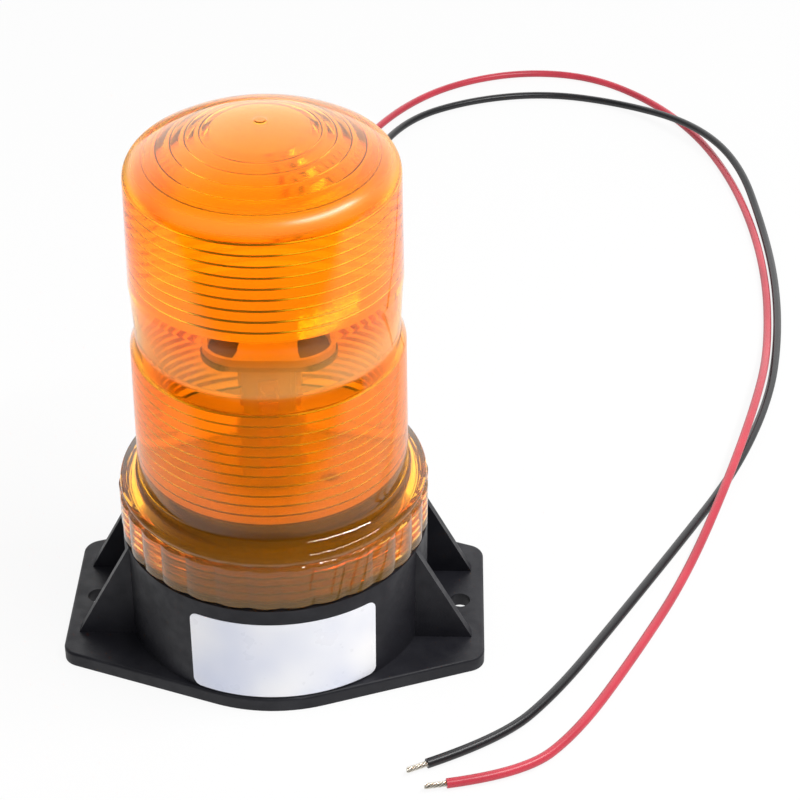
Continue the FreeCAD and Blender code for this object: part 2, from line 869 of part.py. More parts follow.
def strand_tip(route):
    """Bare tinned strands at the end of a lead."""
    end = FreeCAD.Vector(*route[-1])
    ahead = (end - FreeCAD.Vector(*route[-2])).normalize()
    strands = Part.makeCylinder(strand_radius, strand_length, end, ahead)
    far = [edge for edge in strands.Edges
           if len(edge.Vertexes) == 1 and (edge.CenterOfMass - end).Length > strand_length / 2]
    return strands.makeChamfer(strand_chamfer, far)


def inner_lead(side):
    """Stretch of a lead from the grommet to a pad on the underside of the driver board."""
    x = side * lead_spacing / 2
    corner_y = inner_lead_corner_y
    start = FreeCAD.Vector(x, lead_join_y, grommet_z)
    turn_height = board_low - grommet_z
    bend = turn_height * math.sin(math.pi / 4)
    middle = FreeCAD.Vector(x, corner_y - bend, board_low - bend)
    run = Part.LineSegment(start, FreeCAD.Vector(x, corner_y, grommet_z)).toShape()
    rise = Part.Arc(FreeCAD.Vector(x, corner_y, grommet_z), middle,
                    FreeCAD.Vector(x, corner_y - turn_height, board_low)).toShape()
    section = Part.Wire(Part.Circle(start, FreeCAD.Vector(0, 1, 0), lead_radius).toShape())
    return Part.Wire([run, rise]).makePipeShell([section], True, True)


def jumper_wires():
    """Two thin wires from the driver board up to the round LED board."""
    height = led_plate_low - board_post_bottom
    return Part.makeCompound([
        disc(jumper_radius, height, board_post_bottom, jumper_x, side * jumper_half_spacing)
        for side in (-1, 1)])


os.makedirs("parts", exist_ok=True)

save("base_housing", base_housing())
save("bottom_cover", bottom_cover())
save("cover_screws", cover_screws())
save("cable_grommet", cable_grommet())
save("rating_label", rating_label())
save("driver_board", driver_board())
save("board_screws", board_screws())
save("input_capacitor", capacitor(input_capacitor_radius, input_capacitor_height, input_capacitor_place))
save("output_capacitor", capacitor(output_capacitor_radius, output_capacitor_height,
                                   output_capacitor_place))
save("filter_inductor", inductor())
save("driver_chips", driver_chips())
save("jumper_wires", jumper_wires())
save("led_plate", led_plate())
save("led_post", led_post())
for index, side in enumerate(("front", "right", "back", "left")):
    save("led_board_" + side, turned(led_board(), 90.0 * index))
    save("led_chips_" + side, turned(led_row(), 90.0 * index))
save("heat_spreader", heat_spreader())
save("tower_cap", tower_cap())
save("tower_screw", tower_screw())
save("lead_red_inner", inner_lead(-1))
save("lead_black_inner", inner_lead(1))
save("lead_red", cord(red_route, lead_radius, "lead_red"))
save("lead_black", cord(black_route, lead_radius, "lead_black"))
save("lead_red_tip", strand_tip(red_route))
save("lead_black_tip", strand_tip(black_route))
save("lens_seal", lens_seal())
save("lens_collar", lens_collar())
save("lens_lower_drum", lens_lower_drum())
save("lens_upper_drum", lens_upper_drum())
save("lens_dome", lens_dome())
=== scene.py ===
import json
import math

import bpy
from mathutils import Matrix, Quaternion, Vector


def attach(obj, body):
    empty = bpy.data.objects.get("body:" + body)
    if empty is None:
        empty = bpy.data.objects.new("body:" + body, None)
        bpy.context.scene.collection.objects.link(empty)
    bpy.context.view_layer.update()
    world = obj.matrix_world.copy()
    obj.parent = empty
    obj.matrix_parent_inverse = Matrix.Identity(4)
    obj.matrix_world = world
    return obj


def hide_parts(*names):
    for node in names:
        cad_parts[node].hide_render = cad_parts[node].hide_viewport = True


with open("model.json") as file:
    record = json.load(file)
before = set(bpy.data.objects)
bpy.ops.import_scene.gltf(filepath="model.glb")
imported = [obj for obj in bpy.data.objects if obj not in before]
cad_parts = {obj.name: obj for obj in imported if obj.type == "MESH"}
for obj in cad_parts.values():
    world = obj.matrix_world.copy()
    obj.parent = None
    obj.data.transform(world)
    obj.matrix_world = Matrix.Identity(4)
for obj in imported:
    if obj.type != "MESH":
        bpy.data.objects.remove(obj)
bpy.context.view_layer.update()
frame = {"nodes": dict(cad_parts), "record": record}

# Lengths in this script are millimetres, turned into metres by this factor, unless a comment says metres.
MM = 0.001


# Camera, at the photograph's viewing angle, with its pitch and yaw in degrees

CAMERA_PLACE = (43.0, -481.8, 407.3)
CAMERA_PITCH = 34.91
CAMERA_YAW = 1.14
CAMERA_LENS = 102.15
SENSOR_WIDTH = 36.0


def make_camera():
    """Camera at the photograph's viewing angle, as the scene's own."""
    data = bpy.data.cameras.new("camera")
    data.lens = CAMERA_LENS
    data.sensor_width = SENSOR_WIDTH
    camera = bpy.data.objects.new("camera", data)
    camera.location = Vector(CAMERA_PLACE) * MM
    camera.rotation_euler = (math.radians(90.0 - CAMERA_PITCH), 0.0, math.radians(CAMERA_YAW))
    bpy.context.scene.collection.objects.link(camera)
    bpy.context.scene.camera = camera


# The leads: routes repeated from the CAD source, from the grommet to the stripped ends.
# A route's points lie at the height TABLE where the lead rests, and at OVER where it crosses the other lead.

LEAD_RADIUS = 1.3
GROMMET_Z = 10.2
LEAD_START_Y = 41.0
TABLE = 1.35
OVER = 6.95

RED_ROUTE = [
    (-2.1, LEAD_START_Y, GROMMET_Z),
    (-2.1, 54.0, GROMMET_Z),
    (-3.5, 72.0, 4.0),
    (-6.5, 97.0, TABLE),
    (-8.5, 137.0, TABLE),
    (-6.5, 180.0, TABLE),
    (-0.5, 220.0, TABLE),
    (9.0, 256.0, TABLE),
    (24.0, 290.0, TABLE),
    (45.0, 314.0, TABLE),
    (73.0, 326.5, TABLE),
    (101.0, 323.5, TABLE),
    (123.0, 304.5, TABLE),
    (139.0, 277.0, TABLE),
    (148.5, 244.0, TABLE),
    (153.2, 207.0, TABLE),
    (153.6, 170.0, TABLE),
    (150.0, 134.0, TABLE),
    (143.5, 101.0, OVER),
    (130.5, 58.0, OVER),
    (114.0, 15.5, TABLE),
    (97.0, -19.0, TABLE),
    (80.5, -49.0, TABLE),
    (66.0, -64.5, TABLE),
    (46.5, -68.5, TABLE),
]
BLACK_ROUTE = [
    (2.1, LEAD_START_Y, GROMMET_Z),
    (2.1, 54.0, GROMMET_Z),
    (1.6, 72.0, 4.0),
    (0.5, 97.0, TABLE),
    (-0.5, 137.0, TABLE),
    (2.0, 180.0, TABLE),
    (7.5, 218.0, TABLE),
    (16.0, 252.0, TABLE),
    (30.0, 286.0, TABLE),
    (55.0, 302.5, TABLE),
    (84.0, 308.5, TABLE),
    (112.0, 301.0, TABLE),
    (137.0, 275.0, OVER),
    (151.5, 246.0, OVER),
    (156.6, 207.0, TABLE),
    (156.8, 170.0, TABLE),
    (153.2, 134.0, TABLE),
    (146.4, 101.0, TABLE),
    (132.0, 63.5, TABLE),
    (111.9, 28.0, TABLE),
    (92.7, -5.0, TABLE),
    (75.5, -34.0, TABLE),
    (60.5, -52.0, TABLE),
    (41.5, -61.5, TABLE),
]

STRAND_REACH = 6.0
STRAND_RADIUS = 0.27
STRAND_RING = 0.52
STRAND_TURNS = 0.75
STRANDS_ROUND = 6
STRAND_STEPS = 14
STRAND_CORNERS = 8
STRAND_SHARP = 50.0
# A strand starts this far inside the insulation, and its length differs by this share from the next one's.
STRAND_INSIDE = 0.3
STRAND_STAGGER = 0.03


def make_lead(name, route, finish):
    """Insulated lead as one smooth spline with the route's points as its control points."""
    curve = bpy.data.curves.new(name, "CURVE")
    curve.dimensions = "3D"
    curve.bevel_depth = LEAD_RADIUS * MM
    curve.bevel_resolution = 6
    curve.resolution_u = 12
    curve.use_fill_caps = True
    spline = curve.splines.new("NURBS")
    spline.points.add(len(route) - 1)
    for point, place in zip(spline.points, route):
        point.co = (*[value * MM for value in place], 1.0)
    spline.order_u = 3
    spline.use_endpoint_u = True
    curve.materials.append(finish)
    lead = bpy.data.objects.new(name, curve)
    bpy.context.scene.collection.objects.link(lead)
    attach(lead, "base")
    return lead


def add_object(name, mesh, body, finish):
    """Piece with one finish that rides on a body."""
    mesh.materials.append(finish)
    made = bpy.data.objects.new(name, mesh)
    bpy.context.scene.collection.objects.link(made)
    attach(made, body)
    return made


def mesh_from(name, points, faces, sharp_angle):
    """Smooth-shaded mesh with creases where its faces meet at more than the angle."""
    mesh = bpy.data.meshes.new(name)
    mesh.from_pydata([Vector(point) * MM for point in points], [], faces)
    mesh.validate()
    mesh.shade_smooth()
    mesh.set_sharp_from_angle(angle=math.radians(sharp_angle))
    return mesh


def make_tip(name, route, finish):
    """Bare end: six tinned strands with a slight twist round a seventh, cut to uneven lengths."""
    end = Vector(route[-1])
    ahead = (end - Vector(route[-2])).normalized()
    side = ahead.cross(Vector((0, 0, 1))).normalized()
    up = side.cross(ahead)
    points = []
    faces = []
    for strand in range(STRANDS_ROUND + 1):
        start = len(points)
        for step in range(STRAND_STEPS + 1):
            share = step / STRAND_STEPS
            ring = 0.0 if strand == STRANDS_ROUND else STRAND_RING
            angle = 2 * math.pi * (strand / STRANDS_ROUND + STRAND_TURNS * share)
            reach = STRAND_REACH * share * (1.0 - STRAND_STAGGER * (strand % 3))
            middle = end + ahead * (reach - STRAND_INSIDE)
            middle += (side * math.cos(angle) + up * math.sin(angle)) * ring
            for corner in range(STRAND_CORNERS):
                turn = 2 * math.pi * corner / STRAND_CORNERS
                points.append(middle + (side * math.cos(turn) + up * math.sin(turn)) * STRAND_RADIUS)
        for step in range(STRAND_STEPS):
            low = start + step * STRAND_CORNERS
            high = low + STRAND_CORNERS
            for corner in range(STRAND_CORNERS):
                after = (corner + 1) % STRAND_CORNERS
                faces.append((low + corner, low + after, high + after, high + corner))
        last = start + STRAND_STEPS * STRAND_CORNERS
        faces.append(tuple(start + corner for corner in reversed(range(STRAND_CORNERS))))
        faces.append(tuple(last + corner for corner in range(STRAND_CORNERS)))
    return add_object(name, mesh_from(name, points, faces, STRAND_SHARP), "base", finish)


# Nodes, each made in a node tree and joined to a plain number or to another node's output

def feed(tree, value, socket):
    """Give a socket a plain number or another node's output."""
    if isinstance(value, float):
        socket.default_value = value
    else:
        tree.links.new(value, socket)


def coordinates(tree, kind):
    """X, Y and Z of one kind of texture coordinates, by name."""
    source = tree.nodes.new("ShaderNodeTexCoord")
    parts = tree.nodes.new("ShaderNodeSeparateXYZ")
    tree.links.new(source.outputs[kind], parts.inputs[0])
    return parts.outputs


def combine(tree, operation, *values):
    """Result of a mathematical operation."""
    made = tree.nodes.new("ShaderNodeMath")
    made.operation = operation
    for value, socket in zip(values, made.inputs):
        feed(tree, value, socket)
    return made.outputs[0]


def rescale(tree, value, start, stop, low=0.0, high=1.0, change="LINEAR"):
    """Number that goes from low to high while the value goes from start to stop."""
    made = tree.nodes.new("ShaderNodeMapRange")
    made.interpolation_type = change
    for name, number in (("From Min", start), ("From Max", stop), ("To Min", low), ("To Max", high)):
        made.inputs[name].default_value = number
    feed(tree, value, made.inputs["Value"])
    return made.outputs["Result"]


def fade(tree, value, ends):
    """Smooth change with its start, stop, low and high."""
    return rescale(tree, value, *ends, change="SMOOTHSTEP")


def choose(tree, share, first, second):
    """The first value where the share is nought, the second where it is one."""
    made = tree.nodes.new("ShaderNodeMix")
    made.data_type = "FLOAT"
    feed(tree, share, made.inputs[0])
    feed(tree, first, made.inputs[2])
    feed(tree, second, made.inputs[3])
    return made.outputs[0]


def colour_ramp(tree, value, stops):
    """Colour that changes with a value, from positions with their colours in rising order."""
    ramp = tree.nodes.new("ShaderNodeValToRGB")
    elements = ramp.color_ramp.elements
    for element, (position, colour) in zip((elements[0], elements[1]), (stops[0], stops[-1])):
        element.position = position
        element.color = (*colour, 1.0)
    for position, colour in stops[1:-1]:
        elements.new(position).color = (*colour, 1.0)
    tree.links.new(value, ramp.inputs["Fac"])
    return ramp.outputs["Color"]


def noise(tree, scale, detail=3.0):
    """Noise in the object's own coordinates, at a number of cells per metre."""
    source = tree.nodes.new("ShaderNodeTexCoord")
    texture = tree.nodes.new("ShaderNodeTexNoise")
    texture.inputs["Scale"].default_value = scale
    texture.inputs["Detail"].default_value = detail
    tree.links.new(source.outputs["Object"], texture.inputs["Vector"])
    return texture.outputs["Fac"]


# Materials

AMBER = (1.0, 0.42, 0.004)
# Pale amber, painted reflection of the white room at the foot of the plain band
PALE_AMBER = (1.0, 0.6, 0.2)
DARK_METAL = (0.035, 0.028, 0.022)
# Colour of the heat spreader's sides, lighter than its top
SPREADER_SIDE_COLOUR = (0.6, 0.58, 0.52)

# Heights with the share of light that goes through; the rest is scattered, and the dip at the foot of the
# plain band is part of the painted reflection there
CLEAR = ((33.0, 0.89), (48.0, 0.89), (50.0, 0.93), (55.0, 0.93), (58.0, 0.88), (89.0, 0.88), (93.5, 0.94),
         (94.5, 0.7), (100.5, 0.72), (106.0, 0.88), (109.5, 0.96), (139.0, 0.96), (140.3, 0.87),
         (141.8, 0.87), (143.3, 0.96))
# Heights with the share of the pale tone, strongest at the foot of the plain band, where it is painted
# reflection of the white room; it also pales the collar and the dome's corner
PALE = ((33.0, 0.5), (48.0, 0.5), (50.0, 0.0), (93.5, 0.0), (94.5, 1.0), (100.5, 0.8), (106.0, 0.2),
        (109.5, 0.0), (139.0, 0.0), (140.3, 0.5), (141.8, 0.5), (143.3, 0.0))
# Heights with the roughness, which blurs the lower drum and softens the dome and its corner
BLUR = ((33.0, 0.03), (54.0, 0.03), (58.0, 0.13), (88.0, 0.13), (92.0, 0.04), (109.0, 0.04), (112.0, 0.05),
        (138.5, 0.05), (140.0, 0.3), (142.0, 0.3), (144.0, 0.08))
# Height at which the ramps of these three end
RAMP_TOP = 160.0

# Distances from the middle between which painted shade turns the heat spreader dark towards its two ends,
# where the cap's lobes shade its edge
SPREADER_SHADE_ENDS = (8.5, 12.0)

# Plain finishes by slot: colour, roughness, grain in cells per metre, its depth, the drift of tone as a share
PLAIN_FINISHES = {
    "red_pvc": ((0.55, 0.04, 0.065), 0.33, 700.0, 0.03, 0.12),
    "black_pvc": ((0.012, 0.012, 0.014), 0.36, 700.0, 0.03, 0.3),
    "tinned_copper": ((0.72, 0.68, 0.6), 0.3, 1500.0, 0.02, 0.2),
    "steel": ((0.6, 0.6, 0.62), 0.32, 800.0, 0.02, 0.1),
    "rubber": ((0.02, 0.02, 0.02), 0.7, 1200.0, 0.04, 0.3),
    "white_plastic": ((0.86, 0.86, 0.84), 0.4, 700.0, 0.02, 0.04),
    "board": ((0.04, 0.2, 0.09), 0.35, 500.0, 0.03, 0.2),
    "led": ((0.95, 0.8, 0.25), 0.25, 700.0, 0.01, 0.05),
    "component": ((0.04, 0.045, 0.06), 0.4, 700.0, 0.03, 0.25),
}
METALS = ("tinned_copper", "steel")
TONE_SCALE = 60.0
GRAIN_STRENGTH = 0.6


def material(name, colour, roughness, **values):
    """Principled material with its plain values on the shader's own sockets."""
    made = bpy.data.materials.new(name)
    made.use_nodes = True
    shader = made.node_tree.nodes["Principled BSDF"]
    shader.inputs["Base Color"].default_value = (*colour, 1.0)
    shader.inputs["Roughness"].default_value = roughness
    for socket, value in values.items():
        shader.inputs[socket.replace("_", " ")].default_value = value
    return made


def drive(tree, source, socket):
    """Join a node's output to a socket of the material's shader."""
    tree.links.new(source, tree.nodes["Principled BSDF"].inputs[socket])


def add_bump(tree, height, depth, strength):
    """Surface relief of a real depth."""
    relief = tree.nodes.new("ShaderNodeBump")
    relief.inputs["Strength"].default_value = strength
    relief.inputs["Distance"].default_value = depth * MM
    tree.links.new(height, relief.inputs["Height"])
    drive(tree, relief.outputs["Normal"], "Normal")


def vary(tree, source, socket, low, high, start=0.35, stop=0.65):
    """Let a socket go from low to high while the source goes from start to stop."""
    drive(tree, rescale(tree, source, start, stop, low, high), socket)


def vary_colour(tree, source, low, high, start=0.3, stop=0.7):
    """Let the base colour go from low to high while the source goes from start to stop."""
    drive(tree, colour_ramp(tree, source, ((start, low), (stop, high))), "Base Color")


def by_height(tree, stops):
    """Value that changes with the height in the object's own coordinates."""
    level = rescale(tree, coordinates(tree, "Object")["Z"], 0.0, RAMP_TOP * MM)
    return colour_ramp(tree, level, [(z / RAMP_TOP, (value, value, value)) for z, value in stops])


def amber():
    """Clear amber plastic: nearly all light goes through, a little is scattered in its own colour, and a
    paler scattered tone is painted reflection at the foot of the plain band.
    """
    made = material("amber_lens", AMBER, 0.03, IOR=1.49, Transmission_Weight=0.96)
    tree = made.node_tree
    vary(tree, by_height(tree, CLEAR), "Transmission Weight", 0.0, 1.0, start=0.0, stop=1.0)
    vary_colour(tree, by_height(tree, PALE), AMBER, PALE_AMBER, start=0.0, stop=1.0)
    vary(tree, by_height(tree, BLUR), "Roughness", 0.0, 1.0, start=0.0, stop=1.0)
    add_bump(tree, noise(tree, 130.0, detail=2.0), depth=0.05, strength=0.25)
    return made


def black_plastic():
    """Glass-filled black moulding: faint clouds of tone, a fine moulded grain and a satin sheen."""
    made = material("black_plastic", (0.014, 0.014, 0.016), 0.5, Specular_IOR_Level=0.3)
    tree = made.node_tree
    vary_colour(tree, noise(tree, 90.0, detail=5.0), (0.009, 0.009, 0.013), (0.018, 0.018, 0.023))
    vary(tree, noise(tree, 260.0), "Roughness", 0.4, 0.55)
    add_bump(tree, noise(tree, 2600.0, detail=2.0), depth=0.05, strength=0.5)
    return made


def sticker():
    """Silvery film with soft clouds of brightness, slightly uneven where it was pressed on."""
    made = material("label", (0.66, 0.68, 0.73), 0.34)
    tree = made.node_tree
    vary_colour(tree, noise(tree, 42.0, detail=1.5), (0.68, 0.72, 0.86), (0.97, 0.97, 0.98))
    vary(tree, noise(tree, 120.0), "Roughness", 0.26, 0.42)
    add_bump(tree, noise(tree, 90.0, detail=1.0), depth=0.1, strength=0.35)
    return made


def spreader_finish():
    """Black anodised plate, dark on top, lighter on its sides, with painted shade that darkens it towards its
    two ends.
    """
    made = material("dark_metal", DARK_METAL, 0.4)
    tree = made.node_tree
    start, stop = SPREADER_SHADE_ENDS
    across = combine(tree, "ABSOLUTE", coordinates(tree, "Object")["X"])
    # Painted shade: the plate turns dark towards its ends, where the cap's lobes shade its edge.
    ends = rescale(tree, across, start * MM, stop * MM)
    top_or_painted_shade = combine(tree, "MAXIMUM", coordinates(tree, "Normal")["Z"], ends)
    vary_colour(tree, top_or_painted_shade, SPREADER_SIDE_COLOUR, DARK_METAL, start=0.1, stop=0.6)
    add_bump(tree, noise(tree, 600.0), depth=0.02, strength=GRAIN_STRENGTH)
    return made


def plain_finish(slot):
    """Moulded, painted or metal finish with a fine grain and a slight drift of tone."""
    colour, roughness, grain, depth, tone = PLAIN_FINISHES[slot]
    made = material(slot, colour, roughness, Metallic=1.0 if slot in METALS else 0.0)
    tree = made.node_tree
    low = tuple(value * (1.0 - tone) for value in colour)
    high = tuple(min(1.0, value * (1.0 + tone)) for value in colour)
    vary_colour(tree, noise(tree, TONE_SCALE), low, high)
    add_bump(tree, noise(tree, grain), depth, GRAIN_STRENGTH)
    return made


# The lens. Profiles are points of radius and height.

COLLAR_FOOT = 33.8
COLLAR_TOP = 46.8
COLLAR_RADIUS = 41.0
COLLAR_BEVEL = 0.5
COLLAR_TOP_BEVEL = 0.6
COLLAR_BORE = 38.1
BORE_TOP = 46.4
BORE_BEVEL = 0.4
LOBES = 30
LOBE_DEPTH = 0.6
# The outer profile's first rows, which follow the lobes
COLLAR_ROWS = 4

OUTER_LIP = [(40.15, 46.9), (39.95, 47.1), (39.95, 47.35), (40.2, 47.5)]
# Arcs as centre, radius, first and last angle, and steps
SHOULDER = ((38.6, 48.3), 1.9, 0.0, 62.0, 6)
SHOULDER_FOOT = (37.3, 50.7)
SHOULDER_FILLET = ((37.9, 52.9), 2.25, 230.0, 182.0, 5)
OUTER_DRUMS = [(35.58, 55.2), (35.12, 90.0), (34.98, 90.7), (33.75, 93.8), (33.6, 94.4), (34.35, 108.5),
               (34.5, 109.2)]
INNER_SHOULDER = [(37.9, 46.9), (33.9, 50.4), (33.45, 51.2)]
INNER_BAND = [(32.93, 90.2), (31.6, 93.8), (31.45, 94.5), (32.15, 107.6)]
LENS_WALL = 2.15
LENS_SEGMENTS = 360
LENS_SHARP = 28.0

# Ribs inside the two drums: lowest rib's foot, number of ribs, and the radius at the drum's foot and top
LOWER_RIBS = (56.2, 11, 33.35, 32.95)
UPPER_RIBS = (110.2, 9, 32.3, 31.85)
RIB_PITCH = 3.0
RIB_DEPTH = 0.95
# One rib as shares of the pitch and of the depth
RIB_SHAPE = ((0.0, 0.0), (0.66, 1.0), (0.71, 0.94), (0.96, 0.06))

DOME_CENTRE_Z = 94.97
DOME_RADIUS = 57.0
CORNER_RADIUS = 6.0
TOP_WALL_RADIUS = 34.0
# Steps of the corner and of the dome, outside and inside
CORNER_STEPS = (10, 8)
DOME_STEPS = (26, 130)
# The outer dome starts this many degrees after the corner's end, and ends at this angle.
DOME_AFTER_CORNER = 1.0
DOME_LAST_ANGLE = 89.0
# Inner radius of each ring under the dome, and what shapes its ridge
DOME_RINGS = (12.0, 15.5, 19.0, 22.5, 26.0)
DOME_RING_WIDTH = 2.6
DOME_RING_LEAN = 28.2
DOME_RING_EASE = 0.62
DOME_RING_PEAK = 0.8
# Moulding gate on the apex: its radius, how far the dome's points keep from it, and its profile, from that
# radius and from the dome's top
GATE_RADIUS = 1.5
GATE_CLEAR = 0.5
GATE_SHAPE = ((0.25, 0.0), (0.0, 0.1), (-0.1, 0.3), (-0.4, 0.35))
GATE_TOP = 0.3


def arc_points(centre, radius, start, stop, steps):
    """Points of an arc in the plane of radius and height, angles in degrees from outward."""
    angles = [math.radians(start + (stop - start) * step / steps) for step in range(steps + 1)]
    return [(centre[0] + radius * math.cos(angle), centre[1] + radius * math.sin(angle)) for angle in angles]


def dome_corner(wall_radius, corner_radius, sphere_radius):
    """Centre of the arc between the wall and the dome, and the angle where it meets the dome."""
    x = wall_radius - corner_radius
    z = DOME_CENTRE_Z + math.sqrt((sphere_radius - corner_radius) ** 2 - x ** 2)
    return (x, z), math.degrees(math.atan2(z - DOME_CENTRE_Z, x))


def lens_outside():
    """Outer profile from the collar's foot to the apex."""
    profile = [(COLLAR_RADIUS - COLLAR_BEVEL, COLLAR_FOOT), (COLLAR_RADIUS, COLLAR_FOOT + COLLAR_BEVEL),
               (COLLAR_RADIUS, COLLAR_TOP - COLLAR_TOP_BEVEL), (COLLAR_RADIUS - COLLAR_BEVEL, COLLAR_TOP)]
    profile += OUTER_LIP + arc_points(*SHOULDER) + [SHOULDER_FOOT] + arc_points(*SHOULDER_FILLET)
    profile += OUTER_DRUMS
    centre, blend = dome_corner(TOP_WALL_RADIUS, CORNER_RADIUS, DOME_RADIUS)
    profile += arc_points(centre, CORNER_RADIUS, 0.0, blend, CORNER_STEPS[0])
    start = blend + DOME_AFTER_CORNER
    profile += arc_points((0.0, DOME_CENTRE_Z), DOME_RADIUS, start, DOME_LAST_ANGLE, DOME_STEPS[0])
    profile = [point for point in profile if point[0] > GATE_RADIUS + GATE_CLEAR]
    top = DOME_CENTRE_Z + DOME_RADIUS
    profile += [(GATE_RADIUS + across, top + rise) for across, rise in GATE_SHAPE]
    return profile + [(0.0, top + GATE_TOP)]


def ribs(start, count, low_radius, high_radius):
    """Inner profile of one ribbed drum from its foot up: each rib leans inwards, then steps back."""
    profile = []
    for index in range(count):
        for share, depth in RIB_SHAPE:
            z = start + RIB_PITCH * (index + share)
            radius = low_radius + (high_radius - low_radius) * (index + share) / count
            profile.append((radius - RIB_DEPTH * depth, z))
    profile.append((high_radius, start + RIB_PITCH * count))
    return profile


def ring_drop(across):
    """How far the rings under the dome reach down at a distance from the axis."""
    drop = 0.0
    for ring in DOME_RINGS:
        offset = (across - ring) / DOME_RING_WIDTH
        if 0.0 <= offset < 1.0:
            slope = math.degrees(math.asin((ring + DOME_RING_WIDTH / 2) / DOME_RADIUS))
            lean = math.radians(DOME_RING_LEAN - DOME_RING_EASE * slope)
            depth = DOME_RING_WIDTH * DOME_RING_PEAK * math.tan(lean)
            drop += depth * min(offset / DOME_RING_PEAK, (1.0 - offset) / (1.0 - DOME_RING_PEAK))
    return drop


def lens_inside():
    """Inner profile from the collar's foot to the apex."""
    profile = [(COLLAR_BORE + BORE_BEVEL, COLLAR_FOOT), (COLLAR_BORE, COLLAR_FOOT + BORE_BEVEL),
               (COLLAR_BORE, BORE_TOP)]
    profile += INNER_SHOULDER + ribs(*LOWER_RIBS) + INNER_BAND + ribs(*UPPER_RIBS)
    corner = CORNER_RADIUS - LENS_WALL
    radius = DOME_RADIUS - LENS_WALL
    centre, blend = dome_corner(TOP_WALL_RADIUS - LENS_WALL, corner, radius)
    profile += arc_points(centre, corner, 0.0, blend, CORNER_STEPS[1])
    for step in range(1, DOME_STEPS[1]):
        across = (1.0 - step / DOME_STEPS[1]) * radius * math.cos(math.radians(blend))
        z = DOME_CENTRE_Z + math.sqrt(radius ** 2 - across ** 2)
        profile.append((across, z - ring_drop(across)))
    return profile + [(0.0, DOME_CENTRE_Z + radius)]


def lathe(profile, segments, shift=None):
    """Points, faces and rows of a skin turned about the Z axis; a last point on the axis is shared."""
    points = []
    rows = []
    for index, (radius, z) in enumerate(profile):
        row = []
        for segment in range(segments if radius > 0.0 else 1):
            angle = 2 * math.pi * segment / segments
            reach = radius + (shift(index, angle) if shift else 0.0)
            row.append(len(points))
            points.append((reach * math.cos(angle), reach * math.sin(angle), z))
        rows.append(row)
    faces = []
    for low, high in zip(rows, rows[1:]):
        for segment in range(segments):
            after = (segment + 1) % segments
            if len(high) == 1:
                faces.append((low[segment], low[after], high[0]))
            else:
                faces.append((low[segment], low[after], high[after], high[segment]))
    return points, faces, rows


def lobes(index, angle):
    """Change of radius that gives the collar its lobes, with a groove between each two."""
    if index >= COLLAR_ROWS:
        return 0.0
    share = (angle / (2 * math.pi) * LOBES) % 1.0
    return -LOBE_DEPTH * (2 * share - 1.0) ** 2


def make_lens(finish):
    """The whole lens as one closed moulding: outer skin, inner skin, and the collar's foot between them."""
    points, faces, rows = lathe(lens_outside(), LENS_SEGMENTS, lobes)
    inner_points, inner_faces, inner_rows = lathe(lens_inside(), LENS_SEGMENTS)
    offset = len(points)
    points += inner_points
    faces += [tuple(offset + corner for corner in reversed(face)) for face in inner_faces]
    outer, inner = rows[0], [offset + corner for corner in inner_rows[0]]
    for segment in range(LENS_SEGMENTS):
        after = (segment + 1) % LENS_SEGMENTS
        faces.append((outer[after], outer[segment], inner[segment], inner[after]))
    lens = add_object("lens_moulding", mesh_from("lens_moulding", points, faces, LENS_SHARP), "lens", finish)
    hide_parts("lens_collar", "lens_lower_drum", "lens_upper_drum", "lens_dome")


# The screw thread between the neck and the lens, which the CAD model leaves plain.
# Both helices have one pitch, half a pitch apart, so that they pass between each other as the lens turns.

THREAD_PITCH = 2.5
THREAD_DEPTH = 0.75
THREAD_STEPS = 96
THREAD_SHARP = 30.0
# Share of a turn over which a ridge rises at each end, and half its width at the root and at the crest
THREAD_TAPER = 0.2
RIDGE_ROOT = 0.85
RIDGE_CREST = 0.35
NECK_RADIUS = 36.9
# How deep each ridge is let into its wall
NECK_SUNK = 0.1
LENS_SUNK = 0.05
# Heights of the ridge's ends
NECK_THREAD = (35.6, 45.0)
LENS_THREAD = (36.0, 45.4)


def make_thread(name, body, finish, root, crest, ends, phase):
    """Helical ridge on a cylinder, tapered at both ends, from a root radius to a crest radius."""
    low, high = ends
    count = int(THREAD_STEPS * (high - low) / THREAD_PITCH)
    across = ((root, -RIDGE_ROOT), (crest, -RIDGE_CREST), (crest, RIDGE_CREST), (root, RIDGE_ROOT))
    taper = THREAD_STEPS * THREAD_TAPER
    corners = len(across)
    points = []
    faces = []
    for step in range(count + 1):
        angle = 2 * math.pi * step / THREAD_STEPS + phase
        z = low + THREAD_PITCH * step / THREAD_STEPS
        share = min(1.0, step / taper, (count - step) / taper)
        for radius, height in across:
            reach = root + (radius - root) * share
            points.append((reach * math.cos(angle), reach * math.sin(angle), z + height))
    for step in range(count):
        first = step * corners
        following = first + corners
        for corner in range(corners):
            after = (corner + 1) % corners
            faces.append((first + corner, first + after, following + after, following + corner))
    last = count * corners
    faces.append((0, 3, 2, 1))
    faces.append((last, last + 1, last + 2, last + 3))
    return add_object(name, mesh_from(name, points, faces, THREAD_SHARP), body, finish)


# Stage and light

# Reach and height of the table, in metres, just under the housing
FLOOR_REACH = 6.0
FLOOR_LOW = -0.0003
FLOOR_WHITE = (0.86, 0.86, 0.86)
# Share of the table's plain white for what is seen directly or through the lens; the rest keeps the shadow
FLOOR_SHARE = 0.9

# How bright the table is for rays that pass through the lens, by its places in metres: start, stop, low, high
THROUGH_BEHIND = (-0.07, -0.02, 0.06, 1.85)
THROUGH_BESIDE = (0.015, 0.06, 0.06, 1.2)
THROUGH_BEYOND = (-0.17, -0.26, 0.06, 1.3)
# The same for mirrored rays
MIRRORED_FRONT = (-0.145, -0.09, 0.05, 0.9)
MIRRORED_LEFT = (-0.25, -0.08, 0.4, 1.0)
